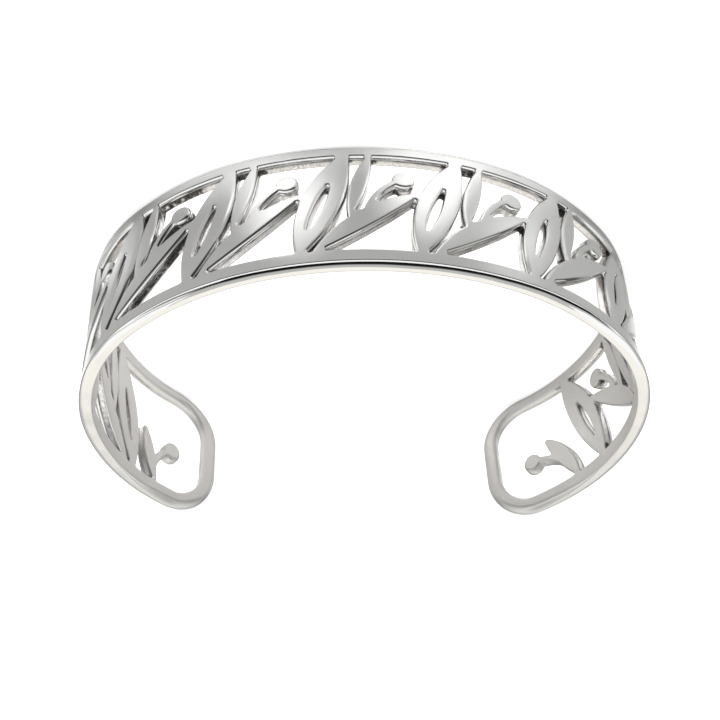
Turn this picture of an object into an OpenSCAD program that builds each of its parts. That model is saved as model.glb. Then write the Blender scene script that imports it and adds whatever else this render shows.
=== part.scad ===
// Open cuff bracelet: one piece of polished metal, bent round the wrist and pierced with leaves.
// The cuff lies on its lower rim: +Z is the axis of the wrist, the front faces -Y and the gap +Y.
// Two rails run round the rims and join in a rounded loop at each end. Between them stand tall
// leaning leaves. Each space between two tall leaves holds a long leaf, a small leaf and a berry on
// a stalk, and the window inside each end's loop holds a sprig of its own.

/* [Band] */
// Height of the band, from rim to rim
band_h = 17.2; // [15:0.1:20]
// Thickness of the metal
wall_t = 1.45; // [1.2:0.05:1.8]
// Radius of the rounded corners at the two ends
end_corner_r = 6.3; // [5:0.1:7]

/* [Plan] */
// Outer radius of the arc across the front
front_r = 40.5; // [39:0.25:44]
// Outer radius of the arcs at the shoulders
shoulder_r = 31.25; // [29:0.25:34]
// Outer radius of the arcs round the sides
side_r = 19.65; // [18:0.05:22]
// Outer radius of the arcs that lead to the ends
back_r = 23.75; // [22:0.05:27]
// Angle that each of the last arcs spans
back_span = 52.8; // [48:0.2:56]

/* [Rails] */
// Width of the rail along the upper rim
upper_rail_w = 1.9; // [1.5:0.1:2.5]
// Width of the rail along the lower rim
lower_rail_w = 1.6; // [1.4:0.1:2.5]
// Width of the loop that joins the rails at each end
end_rail_w = 1.9; // [1.5:0.1:2.5]

/* [Leaves] */
// Number of tall leaves from end to end
leaf_count = 10; // [8:1:10]
// Distance from one tall leaf to the next, along the outer face
leaf_pitch = 12; // [11:0.1:12.2]
// Lean of the tall leaves
leaf_lean = 19; // [12:1:24]
// Width of a tall leaf to the left of the line between its tips
leaf_left = 2.5; // [1.8:0.1:2.8]
// Width of a tall leaf to the right of that line
leaf_right = 1.9; // [1.5:0.1:2.4]
// Length of the slit along a tall leaf's midrib
vein_l = 7.6; // [5:0.1:9]
// Width of that slit
vein_w = 0.8; // [0.6:0.1:1]
// Width of a berry's stalk
stalk_w = 0.95; // [0.8:0.05:1.2]
// Diameter of a berry
berry_d = 2.5; // [2:0.1:2.8]

/* [Hidden] */
$fn = 180;

// Directions from the arcs' centres to the joints between arcs, from whole-number triangles
joint_dirs = [[0, 1], [12, 35] / 37, [21, 20] / 29, [40, -9] / 41];
arc_rs = [front_r, shoulder_r, side_r, back_r];
arc_spans = [
    for (i = [0:2]) heading_of(joint_dirs[i + 1]) - heading_of(joint_dirs[i]),
    back_span,
];
wedge_dirs = concat(joint_dirs, [direction(heading_of(joint_dirs[3]) + back_span)]);
half_length = length_to(4);
// Moves the plan so that the middle of its depth is at the origin
plan_shift = (front_r + outer_point(half_length).y) / 2;

open_h = band_h - upper_rail_w - lower_rail_w;
open_half = open_h / 2;
open_mid_z = lower_rail_w + open_half;
// Half the length from the axis of the last tall leaf to the end of the band
end_half = (half_length - (leaf_count - 1) / 2 * leaf_pitch) / 2;
// How far the tips of the tall leaves reach into the rails
tip_bite = 1.15;
leaf_l = 2 * (open_half + tip_bite) / cos(leaf_lean);
// Share of the midrib slit that is nearer the root than the middle of the leaf
vein_low = 0.6;
// Angle at which the rounded corners leave the rims, so that a true edge lies between them
rim_cross = 6;
// A cut starts outside the outer face and passes through the wall, also where it curves away
cut_out = 1.5;
cut_in = 6;
far = 40;

function heading_of(d) = atan2(d.x, d.y);
function direction(heading) = [sin(heading), cos(heading)];
function arc_centre(i) =
    i == 0 ? [0, 0] : arc_centre(i - 1) + (arc_rs[i - 1] - arc_rs[i]) * joint_dirs[i];
// Length along the outer face from the middle of the front to the start of arc i
function length_to(i) = i == 0 ? 0 : length_to(i - 1) + arc_rs[i - 1] * arc_spans[i - 1] * PI / 180;
function arc_at(s) = s < length_to(1) ? 0 : s < length_to(2) ? 1 : s < length_to(3) ? 2 : 3;
// Heading of the outward normal at length s, turning from the front towards the ends
function heading_at(s) =
    let (i = arc_at(abs(s)))
    sign(s) * (heading_of(joint_dirs[i]) + (abs(s) - length_to(i)) / arc_rs[i] * 180 / PI);
function outer_point(s) =
    let (p = arc_centre(arc_at(abs(s))) + arc_rs[arc_at(abs(s))] * direction(heading_at(abs(s))))
    [s < 0 ? -p.x : p.x, p.y];

// A place between two tall leaves, in pitches and in half heights of the opening
function spot(x, y) = [x * leaf_pitch, y * open_half];
// A place in the window at an end, where the tall leaf and the end of the band are at x = -1 and 1
function nook(x, y) = [x * end_half, y * open_half];

// Blades between two tall leaves: root, tip, width to the left and to the right of the line between
space_blades = [
    [spot(-0.64, -1.12), spot(0.39, 0.28), 1.9, 0.7],
    [spot(-0.3, -0.4), spot(-0.07, 1.16), 1.05, 0.85],
];
// Berries there: root of the stalk, middle of the berry, bow of the stalk to the left
space_berries = [
    [spot(-0.14, -0.3), spot(0.19, 0.5), 0.9],
];
// The same in the window to the right of the last leaf
right_blades = [
    [nook(-0.74, -1.12), nook(-0.1, 0.1), 1.5, 0.8],
];
right_berries = [
    [nook(-0.52, -0.74), nook(0.16, -0.3), 0.8],
];
// The same in the window to the left of the first leaf
left_blades = [
    [nook(0.14, -1.12), nook(0.5, 0.1), 1.0, 0.9],
];
left_berries = [
    [nook(0.22, -0.76), nook(-0.16, -0.2), -0.6],
];

// One arc of the plan, drawn with the front towards +Y
module arc_plan(i) {
    reach = 2 * arc_rs[i];
    middle = wedge_dirs[i] + wedge_dirs[i + 1];
    translate(arc_centre(i))
        intersection() {
            difference() {
                circle(arc_rs[i]);
                circle(arc_rs[i] - wall_t);
            }
            polygon([[0, 0], reach * wedge_dirs[i], reach * middle, reach * wedge_dirs[i + 1]]);
        }
}

module band() {
    translate([0, plan_shift, 0])
        mirror([0, 1, 0])
            linear_extrude(band_h)
                for (side = [0, 1])
                    mirror([side, 0])
                        for (i = [0:3]) arc_plan(i);
}

// Cuts a flat drawing through the wall at length x along the band, seen from outside.
// The drawing is turned half round: its +Y points down and its +X to smaller lengths.
module pierce(x) {
    p = outer_point(-x);
    translate([p.x, plan_shift - p.y, open_mid_z])
        rotate([90, 0, heading_at(-x)])
            translate([0, 0, -cut_in])
                linear_extrude(cut_in + cut_out)
                    rotate(180) children();
}

// Pointed blade from a to b that bulges to the left and to the right of its chord
module blade(a, b, left, right) {
    l = norm(b - a);
    left_r = (l * l / 4 + left * left) / (2 * left);
    right_r = (l * l / 4 + right * right) / (2 * right);
    translate((a + b) / 2)
        rotate(atan2(b.y - a.y, b.x - a.x) - 90)
            intersection() {
                translate([left_r - left, 0]) circle(left_r);
                translate([right - right_r, 0]) circle(right_r);
            }
}

module tall_leaf() {
    tip = leaf_l / 2 * direction(leaf_lean);
    blade(-tip, tip, leaf_left, leaf_right);
}

// Slit in the lower part of a tall leaf, midway between its two sides
module vein() {
    across = (leaf_right - leaf_left) / 2;
    root = across * [cos(leaf_lean), -sin(leaf_lean)] - vein_low * vein_l * direction(leaf_lean);
    blade(root, root + vein_l * direction(leaf_lean), vein_w / 2, vein_w / 2);
}

// Stalk from a that bows to the left (or, below 0, to the right) and ends in a berry at b
module berry_stalk(a, b, bow) {
    l = norm(b - a);
    r = (l * l / 4 + bow * bow) / (2 * abs(bow));
    reach = abs(bow) + stalk_w;
    translate((a + b) / 2)
        rotate(atan2(b.y - a.y, b.x - a.x) - 90)
            intersection() {
                translate([sign(bow) * (r - abs(bow)), 0])
                    difference() {
                        circle(r + stalk_w / 2);
                        circle(r - stalk_w / 2);
                    }
                translate([-reach, -l / 2]) square([2 * reach, l]);
            }
    translate(b) circle(d = berry_d);
}

module sprig(blades, berries) {
    for (row = blades) blade(row[0], row[1], row[2], row[3]);
    for (row = berries) berry_stalk(row[0], row[1], row[2]);
}

// Opening between two tall leaves, less what grows in it
module space_cut() {
    lean = open_half * tan(leaf_lean);
    difference() {
        polygon([
            [-leaf_pitch / 2 - lean, -open_half],
            [leaf_pitch / 2 - lean, -open_half],
            [leaf_pitch / 2 + lean, open_half],
            [-leaf_pitch / 2 + lean, open_half],
        ]);
        translate([-leaf_pitch / 2, 0]) tall_leaf();
        translate([leaf_pitch / 2, 0]) tall_leaf();
        sprig(space_blades, space_berries);
    }
}

// Everything to the right (side 1) or to the left (side -1) of the tall leaf at x
module beside_leaf(x, side) {
    lean = open_half * tan(leaf_lean);
    polygon([
        [x - lean, -open_half],
        [x + lean, open_half],
        [x + side * far, open_half],
        [x + side * far, -open_half],
    ]);
}

// Bar as high as the opening, with rounded corners at its right end
module round_ended(x, r) {
    translate([-far, -open_half]) square([far + x - r, open_h]);
    translate([-far, r - open_half]) square([far + x, open_h - 2 * r]);
    for (s = [-1, 1]) translate([x - r, s * (open_half - r)]) circle(r);
}

// Window inside the loop at the right end (side 1) or the left end (side -1)
module end_window(side) {
    difference() {
        intersection() {
            beside_leaf(-side * end_half, side);
            mirror([side < 0 ? 1 : 0, 0]) round_ended(end_half - end_rail_w, end_corner_r - end_rail_w);
        }
        translate([-side * end_half, 0]) tall_leaf();
        if (side < 0) sprig(left_blades, left_berries);
        else sprig(right_blades, right_berries);
    }
}

// What is cut off the two corners of the right end, which is at x = end_corner_r / 2
module end_corners() {
    inset = end_corner_r * cos(rim_cross);
    for (rim = [open_mid_z - band_h, open_mid_z])
        translate([end_corner_r / 2, rim])
            mirror([0, rim < 0 ? 1 : 0])
                translate([-inset, -inset])
                    difference() {
                        square(2 * end_corner_r);
                        circle(end_corner_r);
                    }
}

module cuff() {
    color("silver")
        difference() {
            band();
            for (i = [0:leaf_count - 2]) pierce((i - leaf_count / 2 + 1) * leaf_pitch) space_cut();
            for (i = [0:leaf_count - 1]) pierce((i - leaf_count / 2 + 0.5) * leaf_pitch) vein();
            for (side = [-1, 1]) {
                pierce(side * (half_length - end_half)) end_window(side);
                pierce(side * (half_length - end_corner_r / 2))
                    mirror([side < 0 ? 1 : 0, 0]) end_corners();
            }
        }
}

cuff();
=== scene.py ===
import math

import bmesh
import bpy
from mathutils import Matrix, Vector
from mathutils.geometry import delaunay_2d_cdt


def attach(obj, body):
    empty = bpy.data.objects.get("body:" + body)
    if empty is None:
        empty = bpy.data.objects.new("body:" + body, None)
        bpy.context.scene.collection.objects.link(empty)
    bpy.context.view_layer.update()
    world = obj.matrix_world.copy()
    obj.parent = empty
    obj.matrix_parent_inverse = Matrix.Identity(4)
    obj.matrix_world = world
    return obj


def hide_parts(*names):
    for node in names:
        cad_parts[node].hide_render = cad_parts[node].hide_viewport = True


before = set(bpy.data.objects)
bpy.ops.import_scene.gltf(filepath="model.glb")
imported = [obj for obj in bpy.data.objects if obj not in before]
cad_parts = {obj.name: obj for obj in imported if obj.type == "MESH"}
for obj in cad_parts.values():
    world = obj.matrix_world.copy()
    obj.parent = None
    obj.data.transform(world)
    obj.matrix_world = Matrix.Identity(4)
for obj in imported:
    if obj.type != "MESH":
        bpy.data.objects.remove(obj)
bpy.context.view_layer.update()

# Everything about the cuff's shape, in millimetres and degrees, as in the part's source.
# The band is built flat, x along it and y across it, with the outer face at z = 0, and is bent last.
cuffShape = {
    "height": 17.2,
    "wall": 1.45,
    "endCorner": 6.3,
    "planRadii": (40.5, 31.25, 19.65, 23.75),
    "planJoints": ((12, 35), (21, 20), (40, -9)),   # directions at the joints between the arcs
    "lastArc": 52.8,
    "upperRail": 1.9,
    "lowerRail": 1.6,
    "endRail": 1.9,
    "leafCount": 10,
    "leafPitch": 12.0,
    "leafLean": 19.0,
    "leafSides": (2.5, 1.9),
    "tipBite": 1.15,
    "veinLength": 7.6,
    "veinWidth": 0.8,
    "veinLow": 0.6,
    "stalkWidth": 0.95,
    "berry": 2.5,
}

# Blades as (root, tip, left, right) and berries as (root, middle, bow). Places are shares of the pitch,
# or at the ends of endHalf, and of half the openwork's height. Sides and bows are in millimetres.
sprigs = {
    "space": {
        "blades": (((-0.64, -1.12), (0.39, 0.28), 1.9, 0.7), ((-0.3, -0.4), (-0.07, 1.16), 1.05, 0.85)),
        "berries": (((-0.14, -0.3), (0.19, 0.5), 0.9),),
    },
    "rightEnd": {
        "blades": (((-0.74, -1.12), (-0.1, 0.1), 1.5, 0.8),),
        "berries": (((-0.52, -0.74), (0.16, -0.3), 0.8),),
    },
    "leftEnd": {
        "blades": (((0.14, -1.12), (0.5, 0.1), 1.0, 0.9),),
        "berries": (((0.22, -0.76), (-0.16, -0.2), -0.6),),
    },
}

# How the cuff's edges are softened, in millimetres and degrees. Pairs of sizes are for the front and
# for the ends. An outer edge is an ellipse, with its inset on the face and its depth in the wall.
cuffFinish = {
    "rimInset": (0.30, 0.50),
    "rimDepth": (0.95, 0.56),
    "cutInset": (0.36, 0.30),       # edges of the openings
    "cutDepth": (0.55, 0.40),
    "rimInner": (0.17, 0.86),       # radii on the inner face
    "cutInner": (0.26, 0.34),
    "loopInner": 0.55,              # inner edge of the end loops, seen from inside the cuff
    "depthChange": (24.0, 38.0),    # lengths from the middle between which the rim's depth changes
    "edgeChange": (50.0, 64.0),     # and all the other sizes
    "loopChange": (7.2, 4.5),       # distances from the end between which loopInner takes over
    "tipRadius": 0.48,
    "crevice": 0.13,                # radius of the tight corners
    "cornerFrom": 20.0,             # turns from which a corner is rounded, and the most that counts
    "cornerMost": 165.0,
    "cornerShare": 0.45,            # most of a run that the rounding of one corner takes up
    "cornerStep": 14.0,
    "tightTurn": 8.0,               # a point that turns in by more belongs to a tight corner
    "cornerShadeReach": 2.4,            # painted shade reaches so far from the tight corners, along the outlines
    "darkReflectionAt": -22.5,               # and round this place on the band's left half a painted dark reflection needs no corner
    "darkReflectionReach": 8.5,
    "darkReflectionStrength": 1.40,
    "drawnStep": 0.12,              # spacing of the points on the drawing's curves and rounded bars
    "barStep": 0.2,
    "step": 0.34,                   # and on the finished outlines
    "straightStep": 0.7,
    "straightWithin": 0.002,        # share by which a straight run may be longer than its chord
    "mergeWithin": 0.01,
    "outerSegments": 6,
    "innerSegments": 4,
    "wallFrom": 0.97,               # nearness to the wall's direction at which its finish starts
    "faceGrid": 0.9,                # spacing of the triangles' corners on the flat faces
    "gridClear": 0.45,              # share of it that they keep off the outlines
}

shape = cuffShape
openHalf = (shape["height"] - shape["upperRail"] - shape["lowerRail"]) / 2
openMid = shape["lowerRail"] + openHalf


def heading(direction):
    return math.atan2(direction[0], direction[1])


planHeadings = [0.0] + [heading(d) for d in shape["planJoints"]]
planHeadings.append(planHeadings[-1] + math.radians(shape["lastArc"]))
planStarts, planCentres = [0.0], [Vector((0, 0))]
for i, radius in enumerate(shape["planRadii"]):
    planStarts.append(planStarts[-1] + radius * (planHeadings[i + 1] - planHeadings[i]))
    if i:
        turn = planHeadings[i]
        shift = (shape["planRadii"][i - 1] - radius) * Vector((math.sin(turn), math.cos(turn)))
        planCentres.append(planCentres[-1] + shift)
halfLength = planStarts[4]
endHalf = (halfLength - (shape["leafCount"] - 1) / 2 * shape["leafPitch"]) / 2


# Arc of the plan at a length along the band: its centre, radius and heading
def planAt(length):
    run = min(abs(length), halfLength)
    i = max(k for k in range(4) if run >= planStarts[k])
    turn = planHeadings[i] + (run - planStarts[i]) / shape["planRadii"][i]
    centre, side = planCentres[i], -1 if length < 0 else 1
    return Vector((side * centre.x, centre.y)), shape["planRadii"][i], side * turn


lastCentre, lastRadius, lastTurn = planAt(halfLength)
planShift = (shape["planRadii"][0] + lastCentre.y + lastRadius * math.cos(lastTurn)) / 2


# Bends a flat point and its normal onto the plan, in metres. The drawing is turned half round:
# its +y points down in the world, and its right end comes to lie on the side of -x.
def bendPoint(co, normal):
    centre, radius, turn = planAt(-co.x)
    along = Vector((-math.cos(turn), -math.sin(turn), 0))
    outward = Vector((math.sin(turn), -math.cos(turn), 0))
    reach = radius + co.z
    place = Vector((centre.x + reach * math.sin(turn),
                    planShift - centre.y - reach * math.cos(turn), openMid - co.y))
    squeeze = reach / radius
    bent = along * (normal.x / squeeze) + Vector((0, 0, -normal.y)) + outward * normal.z
    return place / 1000, bent.normalized()


# Points on the arc from a towards b that bows to the left of the line between them, without b
def bowedEdge(a, b, bow):
    a, b = Vector(a), Vector(b)
    chord = b - a
    length = chord.length
    radius = (length * length / 4 + bow * bow) / (2 * abs(bow))
    half = math.asin(min(1, length / 2 / radius))
    count = max(6, math.ceil(2 * half * radius / cuffFinish["drawnStep"]))
    middle, forward = (a + b) / 2, chord / length
    left = Vector((-forward.y, forward.x)) * math.copysign(1, bow)
    centre = middle - left * (radius - abs(bow))
    angles = [-half + 2 * half * k / count for k in range(count)]
    return [centre + radius * (math.sin(t) * forward + math.cos(t) * left) for t in angles]


def blade(a, b, left, right):
    return (bowedEdge(a, b, left) + bowedEdge(b, a, right))[::-1]


def disc(centre, radius):
    count = math.ceil(2 * math.pi * radius / cuffFinish["drawnStep"])
    return [Vector(centre) + radius * Vector((math.cos(t), math.sin(t)))
            for t in (2 * math.pi * k / count for k in range(count))]


# Band of the stalk's width on a bowed line from a to b
def stalk(a, b, bow, width):
    line = bowedEdge(a, b, bow) + [Vector(b)]
    left, right = [], []
    for k, point in enumerate(line):
        way = (line[min(k + 1, len(line) - 1)] - line[max(k - 1, 0)]).normalized()
        side = Vector((-way.y, way.x)) * width / 2
        left.append(point + side)
        right.append(point - side)
    return right + left[::-1]


# Bar from -x to x and from low to high with rounded corners
def roundedBar(x, low, high, radius):
    corners = ((x - radius, low + radius, -90), (x - radius, high - radius, 0),
               (radius - x, high - radius, 90), (radius - x, low + radius, 180))
    count = math.ceil(math.pi / 2 * radius / cuffFinish["barStep"])
    return [Vector((cx + radius * math.cos(t), cy + radius * math.sin(t)))
            for cx, cy, start in corners
            for t in (math.radians(start + 90 * k / count) for k in range(count + 1))]


# Way of a length along a tall leaf, from its root to its tip
def lean(length):
    angle = math.radians(shape["leafLean"])
    return Vector((math.sin(angle), math.cos(angle))) * length


def moved(points, x):
    return [Vector((p.x + x, p.y)) for p in points]


def sprigShapes(parts, x, halfWidth):
    def spot(p):
        return Vector((x + p[0] * halfWidth, p[1] * openHalf))
    made = [blade(spot(a), spot(b), left, right) for a, b, left, right in parts["blades"]]
    for a, b, bow in parts["berries"]:
        made.append(stalk(spot(a), spot(b), bow, shape["stalkWidth"]))
        made.append(disc(spot(b), shape["berry"] / 2))
    return made


# The drawing of the band: its outline, the long window between the rails, what grows in it, and slits
def bandShapes():
    pitch, count = shape["leafPitch"], shape["leafCount"]
    outline = roundedBar(halfLength, openMid - shape["height"], openMid, shape["endCorner"])
    window = roundedBar(halfLength - shape["endRail"], -openHalf, openHalf,
                        shape["endCorner"] - shape["endRail"])
    tip = lean((openHalf + shape["tipBite"]) / math.cos(math.radians(shape["leafLean"])))
    tall = blade(-tip, tip, *shape["leafSides"])
    across = (shape["leafSides"][1] - shape["leafSides"][0]) / 2
    sideways = Vector((lean(1).y, -lean(1).x)) * across
    root = sideways - lean(shape["veinLow"] * shape["veinLength"])
    veinSide = shape["veinWidth"] / 2
    slit = blade(root, root + lean(shape["veinLength"]), veinSide, veinSide)
    leaves, slits = [], []
    for i in range(count):
        x = (i - (count - 1) / 2) * pitch
        leaves.append(moved(tall, x))
        slits.append(moved(slit, x))
    for i in range(count - 1):
        leaves += sprigShapes(sprigs["space"], (i - count / 2 + 1) * pitch, pitch)
    leaves += sprigShapes(sprigs["rightEnd"], halfLength - endHalf, endHalf)
    leaves += sprigShapes(sprigs["leftEnd"], endHalf - halfLength, endHalf)
    return outline, window, leaves, slits


# Triangles that fill polygons and keep their sides: the places, the triangles, and the given points
# and polygons that each place and each triangle comes from
def triangulated(points, polygons, tolerance):
    made = delaunay_2d_cdt(points, [], polygons, 1, tolerance, True)
    return made[0], made[2], made[3], made[5]


# Loops around the metal of the drawing, with the metal on their left
def metalLoops():
    outline, window, leaves, slits = bandShapes()
    points, polygons = [], []
    for polygon in [outline, window] + leaves + slits:
        polygons.append(list(range(len(points), len(points) + len(polygon))))
        points += polygon
    firstSlit = 2 + len(leaves)
    places, triangles, _, origins = triangulated(points, polygons, 1e-5)
    sides = {}
    for triangle, origin in zip(triangles, origins):
        grown = any(2 <= k < firstSlit for k in origin)
        if 0 in origin and (1 not in origin or grown) and max(origin) < firstSlit:
            sides.update(dict.fromkeys(zip(triangle, triangle[1:] + triangle[:1])))
    border = {a: b for a, b in sides if (b, a) not in sides}
    loops = []
    while border:
        loop, here = [], next(iter(border))
        while here in border:
            loop.append(places[here])
            here = border.pop(here)
        if len(loop) > 8:     # less is a sliver between two outlines
            loops.append(loop)
    return loops


def signedTurn(u, v):
    return math.atan2(u.x * v.y - u.y * v.x, u.dot(v))


# How far a closed loop turns to the left at one of its points
def turnAt(loop, k):
    return signedTurn(loop[k] - loop[k - 1], loop[(k + 1) % len(loop)] - loop[k])


# Even steps along a line of points, with both ends kept
def evenSteps(line):
    lengths = [0.0]
    for a, b in zip(line, line[1:]):
        lengths.append(lengths[-1] + (b - a).length)
    total = lengths[-1]
    straight = total - (line[-1] - line[0]).length < cuffFinish["straightWithin"] * total
    count = max(1, math.ceil(total / cuffFinish["straightStep" if straight else "step"]))
    made, k = [], 0
    for n in range(count + 1):
        target = total * n / count
        while k < len(lengths) - 2 and lengths[k + 1] < target:
            k += 1
        gap = lengths[k + 1] - lengths[k]
        made.append(line[k].lerp(line[k + 1], 0 if gap < 1e-9 else (target - lengths[k]) / gap))
    return made


# Cuts a length off the start of a line of points
def trimStart(line, cut):
    line = list(line)
    while len(line) > 2 and (line[1] - line[0]).length <= cut:
        cut -= (line[1] - line[0]).length
        line.pop(0)
    first = line[1] - line[0]
    line[0] = line[0] + first * min(0.999, cut / max(first.length, 1e-9))
    return line


# Rounds the sharp corners of a loop and steps the runs between them evenly
def softenedLoop(loop):
    clean = [p for k, p in enumerate(loop) if (p - loop[k - 1]).length > cuffFinish["mergeWithin"]]
    turns = [turnAt(clean, k) for k in range(len(clean))]
    corners = [k for k, turn in enumerate(turns) if abs(turn) > math.radians(cuffFinish["cornerFrom"])]
    if not corners:
        return evenSteps(clean + clean[:1])[:-1]
    runs = []
    for n, k in enumerate(corners):
        end = corners[(n + 1) % len(corners)]
        runs.append(clean[k:end + 1] if end > k else clean[k:] + clean[:end + 1])
    lengths = [sum((b - a).length for a, b in zip(run, run[1:])) for run in runs]
    cuts = []
    for n, k in enumerate(corners):
        radius = cuffFinish["tipRadius"] if turns[k] > 0 else cuffFinish["crevice"]
        wanted = radius * math.tan(min(abs(turns[k]), math.radians(cuffFinish["cornerMost"])) / 2)
        cuts.append(min(wanted, cuffFinish["cornerShare"] * min(lengths[n], lengths[n - 1])))
    for n, run in enumerate(runs):
        line = trimStart(run, cuts[n])
        line = trimStart(line[::-1], cuts[(n + 1) % len(runs)])[::-1]
        runs[n] = evenSteps(line)
    made = []
    for n, run in enumerate(runs):
        made += run
        following = runs[(n + 1) % len(runs)]
        arrive = (run[-1] - run[-2]).normalized()
        leave = (following[1] - following[0]).normalized()
        turn = abs(signedTurn(arrive, leave))
        reach = (following[0] - run[-1]).length
        handle = reach / (2 * math.sin(max(turn, 0.02) / 2)) * math.tan(turn / 4) * 4 / 3   # for an arc
        steps = max(2, math.ceil(math.degrees(turn) / cuffFinish["cornerStep"]))
        p0, p3 = run[-1], following[0]
        p1, p2 = p0 + arrive * handle, p3 - leave * handle
        for k in range(1, steps):
            t, u = k / steps, 1 - k / steps
            made.append(p0 * u ** 3 + p1 * 3 * t * u ** 2 + p2 * 3 * t * t * u + p3 * t ** 3)
    return made


# How near each point of a loop is to a tight corner of its opening: 1 in the corner, 0 out of reach
def cornerShares(loop):
    count, reach = len(loop), cuffFinish["cornerShadeReach"]
    shares = [0.0] * count
    for k in range(count):
        if turnAt(loop, k) > -math.radians(cuffFinish["tightTurn"]):
            continue
        for way in (1, -1):
            j, gone = k, 0.0
            while gone < reach:
                shares[j % count] = max(shares[j % count], 1 - gone / reach)
                gone += (loop[(j + way) % count] - loop[j % count]).length
                j += way
    return shares


def smoothStep(value, low, high):
    t = max(0.0, min(1.0, (value - low) / (high - low)))
    return t * t * (3 - 2 * t)


def mix(pair, share):
    return pair[0] + (pair[1] - pair[0]) * share


# Sizes of a softened edge at a distance from the middle of the front, and how far it is like the ends'
def edgeSizes(distance, kind):
    share = smoothStep(distance, *cuffFinish["edgeChange"])
    inset, depth, inner = (mix(cuffFinish[kind + part], share) for part in ("Inset", "Depth", "Inner"))
    if kind == "rim":
        depth = mix(cuffFinish["rimDepth"], smoothStep(distance, *cuffFinish["depthChange"]))
    else:
        loopFrom, loopTo = (halfLength - rest for rest in cuffFinish["loopChange"])
        inner = mix((inner, cuffFinish["loopInner"]), smoothStep(distance, loopFrom, loopTo))
    return inset, depth, inner, share


# What the rows of a softened edge need to know at each point of an outline
def edgePoints(loop, kind):
    corners = cornerShares(loop)
    made = []
    for k, p in enumerate(loop):
        before = (p - loop[k - 1]).normalized()
        after = (loop[(k + 1) % len(loop)] - p).normalized()
        a, b = Vector((-before.y, before.x)), Vector((-after.y, after.x))
        inset, depth, inner, share = edgeSizes(abs(p.x), kind)
        away = abs(p.x - cuffFinish["darkReflectionAt"]) / cuffFinish["darkReflectionReach"]
        made.append({
            "place": p,
            "inward": (a + b) / max(0.3, 1 + a.dot(b)),     # longer in a corner, up to a limit
            "inset": inset,
            "depth": depth,
            "inner": inner,
            "share": share,
            "cut": float(kind == "cut"),
            # painted shade in the tight corners, and a painted dark reflection on a stretch of the left
            # half
            "corner": max(corners[k], cuffFinish["darkReflectionStrength"] * (1 - away)),
        })
    return made


# Places one row of the softened edges and fills in its masks. The angle is the slope of the surface's
# normal: 90 on the flat faces and 0 on the wall or the rim.
def setRow(verts, points, layers, side, angle):
    across, out = math.cos(math.radians(angle)), math.sin(math.radians(angle))
    outer = side == "outer"
    for vert in verts:
        point = points[vert[layers["outlinePoint"]]]
        inset = point["inset"] if outer else point["inner"]
        depth = point["depth"] if outer else point["inner"]
        turn = math.atan2(depth * out, inset * across)
        flat = point["place"] + point["inward"] * inset * (1 - math.cos(turn))
        drop = depth * (1 - math.sin(turn))
        z = -drop if outer else drop - shape["wall"]
        vert.co = (flat.x, flat.y, z)
        lateral = -point["inward"].normalized() * across
        vert[layers["smoothNormal"]] = Vector((lateral.x, lateral.y, out if outer else -out))
        wall = smoothStep(across, cuffFinish["wallFrom"], 1) if outer else across
        vert[layers["cutWall"]] = point["cut"] * wall
        vert[layers["endEdge"]] = point["share"] * (across if outer else 1)
        # mask of the painted shade and painted dark reflection on the openings' walls
        vert[layers["paintedShadeMask"]] = point["cut"] * point["corner"]
        vert[layers["inside"]] = -z / shape["wall"]


# Fills the flat face at z inside its ring of edges with small triangles, so that it can bend
def fillFlat(bm, ring, outlines, rim, z, layers):
    border = {vert[layers["outlinePoint"]]: vert for edge in ring for vert in edge.verts}
    given = [Vector((border[k].co.x, border[k].co.y)) for k in range(len(border))]
    grid = cuffFinish["faceGrid"]

    def cellOf(p):
        return math.floor(p.x / grid), math.floor(p.y / grid)

    near = {}
    for p in given:
        near.setdefault(cellOf(p), []).append(p)
    columns, lines = math.ceil(halfLength / grid), math.ceil(shape["height"] / 2 / grid)
    extra = []
    for i in range(-columns, columns):
        for j in range(-lines, lines):
            p = Vector(((i + 0.5 + 0.5 * (j % 2)) * grid, (j + 0.5) * grid))
            column, line = cellOf(p)
            around = [q for a in (-1, 0, 1) for b in (-1, 0, 1)
                      for q in near.get((column + a, line + b), [])]
            if all((p - q).length > cuffFinish["gridClear"] * grid for q in around):
                extra.append(p)
    places, triangles, sources, origins = triangulated(given + extra, outlines, 1e-6)
    used = {}
    for triangle, origin in zip(triangles, origins):
        if set(origin) != {rim}:     # in an opening
            continue
        for k in triangle:
            if k in used:
                continue
            known = [source for source in sources[k] if source < len(given)]
            if known:
                used[k] = border[known[0]]
            else:
                used[k] = bm.verts.new((places[k].x, places[k].y, z))
                used[k][layers["smoothNormal"]] = Vector((0, 0, 1 if z == 0 else -1))
                used[k][layers["inside"]] = -z / shape["wall"]
        corners = [used[k] for k in triangle]
        bm.faces.new(corners if z == 0 else corners[::-1])


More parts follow.
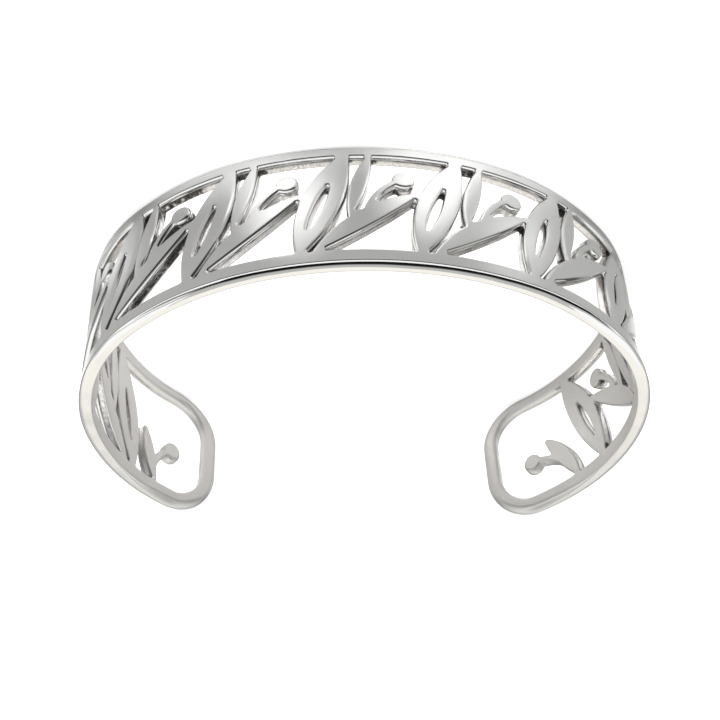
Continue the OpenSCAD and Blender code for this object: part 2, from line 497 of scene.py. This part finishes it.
# The bent band with softened edges: each outline is extruded step by step along the edge's profile
def makeCuff():
    loops = sorted((softenedLoop(loop) for loop in metalLoops()), key=len)
    widths = [max(p.x for p in loop) - min(p.x for p in loop) for loop in loops]
    rim = widths.index(max(widths))
    bm = bmesh.new()
    layers = {"outlinePoint": bm.verts.layers.int.new("outlinePoint")}
    for name in ("cutWall", "inside", "endEdge", "paintedShadeMask"):
        layers[name] = bm.verts.layers.float.new(name)
    layers["smoothNormal"] = bm.verts.layers.float_vector.new("smoothNormal")
    points, outlines, firstRing = [], [], []
    for n, loop in enumerate(loops):
        order = list(range(len(points), len(points) + len(loop)))
        outlines.append(order if n == rim else order[::-1])
        points += edgePoints(loop, "rim" if n == rim else "cut")
        verts = [bm.verts.new((p.x, p.y, 0)) for p in loop]
        for number, vert in zip(order, verts):
            vert[layers["outlinePoint"]] = number
        firstRing += [bm.edges.new(pair) for pair in zip(verts, verts[1:] + verts[:1])]
    print("outlines:", len(loops), "points:", len(points))

    outerSegments, innerSegments = cuffFinish["outerSegments"], cuffFinish["innerSegments"]
    rows = [("outer", 90 - 90 * k / outerSegments) for k in range(outerSegments + 1)]
    rows += [("inner", 90 * k / innerSegments) for k in range(innerSegments + 1)]
    setRow(bm.verts, points, layers, *rows[0])
    lastRing = firstRing
    for row in rows[1:]:
        made = bmesh.ops.extrude_edge_only(bm, edges=lastRing)["geom"]
        fresh = {g for g in made if isinstance(g, bmesh.types.BMVert)}
        setRow(fresh, points, layers, *row)
        lastRing = [g for g in made if isinstance(g, bmesh.types.BMEdge) and fresh.issuperset(g.verts)]
    print("edge rows:", len(rows), "faces:", len(bm.faces))

    fillFlat(bm, firstRing, outlines, rim, 0.0, layers)
    fillFlat(bm, lastRing, outlines, rim, -shape["wall"], layers)
    bmesh.ops.recalc_face_normals(bm, faces=bm.faces)
    flatUv = bm.loops.layers.uv.new("bandFlat")
    for face in bm.faces:
        for corner in face.loops:
            corner[flatUv].uv = (corner.vert.co.x / 1000, corner.vert.co.y / 1000)
    normals = []
    for vert in bm.verts:
        place, normal = bendPoint(vert.co, vert[layers["smoothNormal"]])
        vert.co = place
        normals.append(normal)
    bm.verts.layers.float_vector.remove(bm.verts.layers.float_vector["smoothNormal"])
    bm.verts.layers.int.remove(bm.verts.layers.int["outlinePoint"])
    mesh = bpy.data.meshes.new("cuffFinished")
    bm.to_mesh(mesh)
    bm.free()
    mesh.polygons.foreach_set("use_smooth", [True] * len(mesh.polygons))
    mesh.normals_split_custom_set_from_vertices(normals)
    mesh.update()
    return mesh


cuffMesh = makeCuff()
cuff = bpy.data.objects.new("cuffBand", cuffMesh)
bpy.context.scene.collection.objects.link(cuff)
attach(cuff, "root")
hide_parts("cuff")
triangleCount = sum(len(face.vertices) - 2 for face in cuffMesh.polygons)
print("cuff:", len(cuffMesh.vertices), "vertices,", triangleCount, "triangles")


# The metal's finish: mirror polish outside and on the rims, sawn and lightly tumbled walls, satin inside
metalFinish = {
    "polishedColour": (0.80, 0.80, 0.79, 1),
    "wallColour": (0.84, 0.825, 0.815, 1),
    "wallShade": (0.50, 0.485, 0.47, 1),      # speckles on the walls
    "satinColour": (0.76, 0.742, 0.72, 1),
    # Near-black colours of the painted shade and painted dark reflections on the openings' walls
    "paintedShadeDark": (0.025, 0.023, 0.020, 1),
    "paintedShadeLight": (0.16, 0.15, 0.14, 1),
    "paintedShadeRoughness": 0.5,
    "endRoughness": 0.38,
    "wallPower": 4.0,                         # sharpens the line between the walls and the polish
    "endTumbling": 0.75,                      # share of the saw's roughness that is gone at the ends
    "cornerShadeWeight": 0.55,                     # what nearness to a tight corner adds to the painted shade blots
    "paintedShadeRange": (0.78, 0.90),             # sums of the two between which the painted shade sets in
    "edgeLine": (0.40, 0.56),                 # depths in the wall where the painted shade line under its edge fades
    "satinRange": (0.84, 0.99),               # and where the satin sets in
    "fineMarks": (9000.0, 300.0),             # waves a metre across and along the band
    "sawMarks": (3200.0, 3200.0),
    "fineHeight": 0.0000003,                  # heights of the relief, in metres
    "sawHeight": 0.000012,
    "waveHeight": 0.000030,
    "wallGrainHeight": 0.000005,
    "satinGrainHeight": 0.000012,
    "clouds": {                               # waves a metre, lowest and highest value, and detail
        "sawnPatches": (120.0, 0.12, 1.0, 2.0),
        "wallSpeckles": (3200.0, 0.0, 1.0, 2.0),
        "paintedShadeBlots": (420.0, 0.0, 0.62, 6.0),
        "paintedShadeSpeckles": (3600.0, 0.0, 1.0, 2.0),
        "shadeLineBreaks": (900.0, 0.35, 1.0, 2.0),
        "polishedRoughness": (260.0, 0.035, 0.075, 3.0),
        "wallRoughness": (2600.0, 0.10, 0.24, 3.0),
        "satinRoughness": (500.0, 0.30, 0.42, 3.0),
        "polishWaves": (210.0, 0.0, 1.0, 1.0),
        "wallGrain": (2600.0, 0.0, 1.0, 3.0),
        "satinGrain": (2200.0, 0.0, 1.0, 3.0),
    },
}


# Links a node's output to a socket, or sets the socket to a plain value
def feed(tree, socket, value):
    if hasattr(value, "is_linked"):
        tree.links.new(value, socket)
    else:
        socket.default_value = value


def mathNode(tree, operation, *values):
    node = tree.nodes.new("ShaderNodeMath")
    node.operation = operation
    for socket, value in zip(node.inputs, values):
        feed(tree, socket, value)
    return node.outputs[0]


# A mix node keeps its sockets for values and for colours side by side, so each kind has its numbers
def mixValue(tree, share, first, second):
    node = tree.nodes.new("ShaderNodeMix")
    for number, value in ((0, share), (2, first), (3, second)):
        feed(tree, node.inputs[number], value)
    return node.outputs[0]


def mixColour(tree, share, first, second):
    node = tree.nodes.new("ShaderNodeMix")
    node.data_type = "RGBA"
    for number, value in ((0, share), (6, first), (7, second)):
        feed(tree, node.inputs[number], value)
    return node.outputs[2]


# Smooth change from start to end while the value goes from low to high
def rangeNode(tree, value, low, high, start=0.0, end=1.0):
    node = tree.nodes.new("ShaderNodeMapRange")
    node.interpolation_type = "SMOOTHSTEP"
    names = ("Value", "From Min", "From Max", "To Min", "To Max")
    for name, given in zip(names, (value, low, high, start, end)):
        feed(tree, node.inputs[name], given)
    return node.outputs["Result"]


def newGroup(name, inputs, output):
    group = bpy.data.node_groups.new(name, "ShaderNodeTree")
    for socketName, value in inputs:
        socket = group.interface.new_socket(name=socketName, in_out="INPUT",
                                            socket_type="NodeSocketFloat")
        socket.default_value = value
    group.interface.new_socket(name=output, in_out="OUTPUT", socket_type="NodeSocketFloat")
    return group, group.nodes.new("NodeGroupInput"), group.nodes.new("NodeGroupOutput")


# Cloudy variation between two values on object coordinates
def cloudGroup():
    inputs = (("Scale", 100.0), ("Low", 0.0), ("High", 1.0), ("Detail", 3.0))
    group, given, result = newGroup("cloudyRange", inputs, "Value")
    nodes, links = group.nodes, group.links
    coords = nodes.new("ShaderNodeTexCoord")
    noise = nodes.new("ShaderNodeTexNoise")
    links.new(coords.outputs["Object"], noise.inputs["Vector"])
    links.new(given.outputs["Scale"], noise.inputs["Scale"])
    links.new(given.outputs["Detail"], noise.inputs["Detail"])
    spread = nodes.new("ShaderNodeMapRange")
    spread.inputs["From Min"].default_value = 0.3     # the noise hardly leaves these two
    spread.inputs["From Max"].default_value = 0.7
    links.new(noise.outputs["Fac"], spread.inputs["Value"])
    links.new(given.outputs["Low"], spread.inputs["To Min"])
    links.new(given.outputs["High"], spread.inputs["To Max"])
    links.new(spread.outputs["Result"], result.inputs["Value"])
    return group


# Fine marks on the band, from its own flat coordinates
def bandMarksGroup():
    inputs = (("Across", 9000.0), ("Along", 300.0))
    group, given, result = newGroup("bandMarks", inputs, "Height")
    nodes, links = group.nodes, group.links
    flat = nodes.new("ShaderNodeUVMap")
    flat.uv_map = "bandFlat"
    parts = nodes.new("ShaderNodeSeparateXYZ")
    links.new(flat.outputs["UV"], parts.inputs["Vector"])
    joined = nodes.new("ShaderNodeCombineXYZ")
    for axis, scale in (("X", "Along"), ("Y", "Across")):
        scaled = mathNode(group, "MULTIPLY", parts.outputs[axis], given.outputs[scale])
        links.new(scaled, joined.inputs[axis])
    noise = nodes.new("ShaderNodeTexNoise")
    noise.inputs["Scale"].default_value = 1.0
    noise.inputs["Detail"].default_value = 2.0
    links.new(joined.outputs["Vector"], noise.inputs["Vector"])
    links.new(noise.outputs["Fac"], result.inputs["Height"])
    return group


def makeMetal():
    material = bpy.data.materials.new("whitePolishedMetal")
    material.use_nodes = True
    tree, finish = material.node_tree, metalFinish
    shader = tree.nodes["Principled BSDF"]
    shader.inputs["Metallic"].default_value = 1.0
    cloudyRange, bandMarks = cloudGroup(), bandMarksGroup()

    def attribute(name):
        node = tree.nodes.new("ShaderNodeAttribute")
        node.attribute_name = name
        return node.outputs["Fac"]

    def placed(group, values):
        node = tree.nodes.new("ShaderNodeGroup")
        node.node_tree = group
        for socket, value in zip(node.inputs, values):
            socket.default_value = value
        return node.outputs[0]

    def cloud(name):
        return placed(cloudyRange, finish["clouds"][name])

    def times(first, second):
        return mathNode(tree, "MULTIPLY", first, second)

    def plus(first, second):
        return mathNode(tree, "ADD", first, second)

    # Where each finish lies
    inside, endEdge = attribute("inside"), attribute("endEdge")
    wall = mathNode(tree, "POWER", attribute("cutWall"), finish["wallPower"])
    sawn = times(wall, mathNode(tree, "MULTIPLY_ADD", endEdge, -finish["endTumbling"], 1.0))
    rough = times(sawn, cloud("sawnPatches"))
    satin = rangeNode(tree, inside, *finish["satinRange"])
    # Painted shade and painted dark reflections: dark blots on the sawn walls, heavier in tight corners
    # and round one stretch of the left half
    shadeBlots = plus(cloud("paintedShadeBlots"), times(attribute("paintedShadeMask"), finish["cornerShadeWeight"]))
    shadeBlots = times(rangeNode(tree, shadeBlots, *finish["paintedShadeRange"]), sawn)
    # painted shade line just under the openings' edges, broken up by a cloud
    edgeLine = times(rangeNode(tree, inside, *finish["edgeLine"], 1.0, 0.0), cloud("shadeLineBreaks"))
    paintedShade = mathNode(tree, "MAXIMUM", shadeBlots, times(edgeLine, sawn))

    speckled = mixColour(tree, cloud("wallSpeckles"), finish["wallShade"], finish["wallColour"])
    paintedShadeTone = mixColour(tree, cloud("paintedShadeSpeckles"), finish["paintedShadeDark"], finish["paintedShadeLight"])
    colour = mixColour(tree, wall, finish["polishedColour"], finish["wallColour"])
    colour = mixColour(tree, rough, colour, speckled)
    colour = mixColour(tree, satin, colour, finish["satinColour"])
    colour = mixColour(tree, paintedShade, colour, paintedShadeTone)
    tree.links.new(colour, shader.inputs["Base Color"])

    roughness = mixValue(tree, wall, cloud("polishedRoughness"), cloud("wallRoughness"))
    roughness = mixValue(tree, endEdge, roughness, finish["endRoughness"])
    roughness = mixValue(tree, satin, roughness, cloud("satinRoughness"))
    roughness = mixValue(tree, paintedShade, roughness, finish["paintedShadeRoughness"])
    tree.links.new(roughness, shader.inputs["Roughness"])

    polish = plus(times(cloud("polishWaves"), finish["waveHeight"]),
                  times(placed(bandMarks, finish["fineMarks"]), finish["fineHeight"]))
    wallGrain = plus(times(placed(bandMarks, finish["sawMarks"]), finish["sawHeight"]),
                     times(cloud("wallGrain"), finish["wallGrainHeight"]))
    satinGrain = times(cloud("satinGrain"), finish["satinGrainHeight"])
    height = plus(plus(polish, times(wallGrain, rough)), times(satinGrain, satin))
    bump = tree.nodes.new("ShaderNodeBump")
    bump.inputs["Strength"].default_value = 1.0
    bump.inputs["Distance"].default_value = 1.0
    tree.links.new(height, bump.inputs["Height"])
    tree.links.new(bump.outputs["Normal"], shader.inputs["Normal"])
    return material


cuffMesh.materials.append(makeMetal())
print("metal done")

# Camera: the photograph's angle to the cuff, rolled half round so that the front is at the top.
# Angles in degrees, lens and sensor in millimetres and the rest in metres.
photoView = {
    "elevation": 41.60,
    "azimuth": -6.24,
    "roll": -2.77,
    "distance": 0.1559,
    "right": -0.000270,      # how far the camera is moved from the line to the cuff's middle
    "up": -0.007550,
    "lens": 66.70,
    "sensor": 36.0,
    "clipping": (0.005, 50.0),
}


def makeCamera():
    elevation, azimuth, roll = (math.radians(photoView[k]) for k in ("elevation", "azimuth", "roll"))
    back = Vector((-math.cos(elevation) * math.sin(azimuth),
                   -math.cos(elevation) * math.cos(azimuth), math.sin(elevation)))
    up = -(Vector((0, 0, 1)) - back * back.z).normalized()
    right = up.cross(back)
    rolledRight = math.cos(roll) * right + math.sin(roll) * up
    rolledUp = math.cos(roll) * up - math.sin(roll) * right
    data = bpy.data.cameras.new("photoCamera")
    data.lens = photoView["lens"]
    data.sensor_width = photoView["sensor"]
    data.clip_start, data.clip_end = photoView["clipping"]
    camera = bpy.data.objects.new("photoCamera", data)
    bpy.context.scene.collection.objects.link(camera)
    turned = Matrix((rolledRight, rolledUp, back)).transposed().to_4x4()
    place = back * photoView["distance"] + rolledRight * photoView["right"] + rolledUp * photoView["up"]
    camera.matrix_world = Matrix.Translation(place) @ turned
    bpy.context.scene.camera = camera


makeCamera()

# Pale floor and soft light all round, with the dark of the camera's side in front. In metres.
studio = {
    "floorSize": 12.0,
    "floorRoughness": 0.9,
    "floorColour": (0.74, 0.74, 0.74, 1),
    "floorWhite": 0.65,                  # added where the floor is seen directly, for a white ground
    "floorFarPaintedShade": (0.17, 0.17, 0.17, 1),   # painted shade: how dark the polish shows the floor further out
    "floorFade": (0.050, 0.110),         # distances from the cuff's middle between which the painted shade gets so dark
    "skyColour": (0.60, 0.60, 0.59, 1),
    "patchDepth": 1.2,                   # depth of the soft balls that make the sky's patches
    "cardFade": 0.015,                   # length over which a card takes on its back side's brightness
    "poolHeight": 0.4,                   # height and size of the lamps that make the pools of light
    "poolLamp": 0.004,
}

# Patches of the sky, one over the other: azimuth from +y, elevation, half width, half height, edge and
# colour
skyPatches = (
    (180.0, 14.0, 2.20, 0.62, 0.70, (0.05, 0.05, 0.05, 1)),     # dark above the front horizon
    (0.0, 41.0, 1.00, 0.22, 0.25, (1.153, 1.12, 1.052, 1)),     # warm white behind the cuff
    (0.0, 30.0, 1.20, 0.22, 1.00, (0.60, 0.60, 0.59, 1)),       # its fade towards the horizon
)

# Cards over the cuff that only its reflections show: left, front, right and back side and height in
# millimetres, brightness, and brightness at the back side
cards = {
    "whiteCard": (-185.0, -90.0, 180.0, 20.0, 101.0, 1.20, 1.20),
    "whiteLeft": (-125.0, 30.0, -55.0, 70.0, 101.0, 1.20, 1.20),
    "whiteRight": (38.0, 30.0, 110.0, 70.0, 101.0, 1.20, 1.20),
    "blackCard": (-112.0, -32.0, 48.0, 20.0, 100.0, 0.01, 0.60),
    "blackLeft": (-150.0, -30.0, -110.0, -6.0, 100.0, 0.01, 0.01),
    "greyCard": (48.0, -20.0, 90.0, 6.0, 100.0, 0.25, 0.25),
}

# Pools of light on the floor, which the mirror polish shows as bright gradients: x, y and radius in
# millimetres, softness of the edge, and light
floorPools = (
    (12.5, -27.5, 7.5, 0.7, 0.9),
    (-7.5, -26.0, 8.0, 0.7, 0.95),
    (-22.5, -25.5, 7.0, 0.7, 0.4),
    (15.0, -13.5, 8.5, 0.6, 0.8),
    (1.0, -15.5, 8.5, 0.6, 0.8),
    (-13.0, -14.5, 8.5, 0.6, 0.8),
    (-30.0, -24.0, 21.0, 0.9, 0.06),
    (31.5, -6.5, 5.5, 0.8, 0.55),
    (36.0, 13.0, 9.0, 0.8, 0.75),
    (-37.0, 8.0, 10.0, 0.8, 0.65),
    (27.0, 29.0, 8.0, 0.8, 0.55),
    (-26.0, 30.0, 9.0, 0.8, 0.75),
    (22.0, 11.0, 11.0, 0.8, 0.30),
    (-22.0, 11.0, 11.0, 0.8, 0.10),
    (8.0, 15.0, 7.5, 0.8, 0.22),
    (-11.5, 14.5, 5.5, 0.8, 0.50),
    (0.0, 8.0, 26.0, 0.6, 0.06),
    (0.0, -5.0, 70.0, 0.4, 0.11),
)


# Object of the studio with a matt material, and that material's node tree and shader
def studioObject(bm, name, materialName):
    mesh = bpy.data.meshes.new(name)
    bm.to_mesh(mesh)
    bm.free()
    made = bpy.data.objects.new(name, mesh)
    bpy.context.scene.collection.objects.link(made)
    material = bpy.data.materials.new(materialName)
    material.use_nodes = True
    mesh.materials.append(material)
    shader = material.node_tree.nodes["Principled BSDF"]
    shader.inputs["Specular IOR Level"].default_value = 0.0
    shader.inputs["Emission Color"].default_value = (1, 1, 1, 1)
    return made, material.node_tree, shader


def makeFloor():
    bm = bmesh.new()
    bmesh.ops.create_grid(bm, x_segments=1, y_segments=1, size=studio["floorSize"] / 2)
    floor, tree, shader = studioObject(bm, "paleFloor", "palePaper")
    shader.inputs["Roughness"].default_value = studio["floorRoughness"]
    path = tree.nodes.new("ShaderNodeLightPath").outputs
    added = mathNode(tree, "MULTIPLY", path["Is Camera Ray"], studio["floorWhite"])
    tree.links.new(added, shader.inputs["Emission Strength"])
    # Painted shade on the floor further out, which only reflections show
    distance = tree.nodes.new("ShaderNodeVectorMath")
    distance.operation = "LENGTH"
    tree.links.new(tree.nodes.new("ShaderNodeTexCoord").outputs["Object"], distance.inputs[0])
    far = rangeNode(tree, distance.outputs["Value"], *studio["floorFade"])
    reflected = mathNode(tree, "MULTIPLY", far, path["Is Glossy Ray"])
    tone = mixColour(tree, reflected, studio["floorColour"], studio["floorFarPaintedShade"])
    tree.links.new(tone, shader.inputs["Base Color"])


def makeWorld():
    world = bpy.data.worlds.new("softStudio")
    bpy.context.scene.world = world
    world.use_nodes = True
    tree = world.node_tree
    coords = tree.nodes.new("ShaderNodeTexCoord")
    colour = studio["skyColour"]
    for azimuth, elevation, width, height, edge, patchColour in skyPatches:
        turn, tilt = math.radians(azimuth), math.radians(elevation)
        place = tree.nodes.new("ShaderNodeMapping")
        place.vector_type = "TEXTURE"
        place.inputs["Location"].default_value = (math.sin(turn) * math.cos(tilt),
                                                  math.cos(turn) * math.cos(tilt), math.sin(tilt))
        place.inputs["Rotation"].default_value = (tilt, 0, -turn)
        place.inputs["Scale"].default_value = (width, studio["patchDepth"], height)
        tree.links.new(coords.outputs["Generated"], place.inputs["Vector"])
        ball = tree.nodes.new("ShaderNodeTexGradient")
        ball.gradient_type = "SPHERICAL"
        tree.links.new(place.outputs["Vector"], ball.inputs["Vector"])
        share = rangeNode(tree, ball.outputs["Fac"], 0.0, edge)
        colour = mixColour(tree, share, colour, patchColour)
    direct = tree.nodes.new("ShaderNodeLightPath").outputs["Is Camera Ray"]
    seen = mixColour(tree, direct, colour, (1, 1, 1, 1))
    tree.links.new(seen, tree.nodes["Background"].inputs["Color"])


def makeCard(name, left, front, right, back, height, brightness, backBrightness):
    bm = bmesh.new()
    bmesh.ops.create_grid(bm, x_segments=1, y_segments=1, size=0.5)
    middle = Vector((left + right, front + back, 2 * height)) / 2000
    bmesh.ops.scale(bm, vec=((right - left) / 1000, (back - front) / 1000, 1), verts=bm.verts)
    bmesh.ops.translate(bm, vec=middle, verts=bm.verts)
    card, tree, shader = studioObject(bm, name, name)
    shader.inputs["Base Color"].default_value = (0, 0, 0, 1)
    parts = tree.nodes.new("ShaderNodeSeparateXYZ")
    tree.links.new(tree.nodes.new("ShaderNodeTexCoord").outputs["Object"], parts.inputs["Vector"])
    backSide = back / 1000
    light = rangeNode(tree, parts.outputs["Y"], backSide - studio["cardFade"], backSide,
                      brightness, backBrightness)
    tree.links.new(light, shader.inputs["Emission Strength"])
    card.visible_camera = card.visible_diffuse = card.visible_shadow = False


def makePool(name, x, y, radius, softness, light):
    height = studio["poolHeight"]
    data = bpy.data.lights.new(name, "SPOT")
    data.spot_size = 2 * math.atan(radius / 1000 / height)
    data.spot_blend = softness
    data.shadow_soft_size = studio["poolLamp"]
    data.energy = light * 4 * math.pi ** 2 * height ** 2 / studio["floorColour"][0]
    lamp = bpy.data.objects.new(name, data)
    lamp.location = (x / 1000, y / 1000, height)
    lamp.visible_glossy = False
    bpy.context.scene.collection.objects.link(lamp)


for number, pool in enumerate(floorPools):
    makePool("floorPool%d" % number, *pool)
for name, sides in cards.items():
    makeCard(name, *sides)
makeFloor()
makeWorld()

bpy.context.scene.view_settings.view_transform = "Standard"
print("studio done")
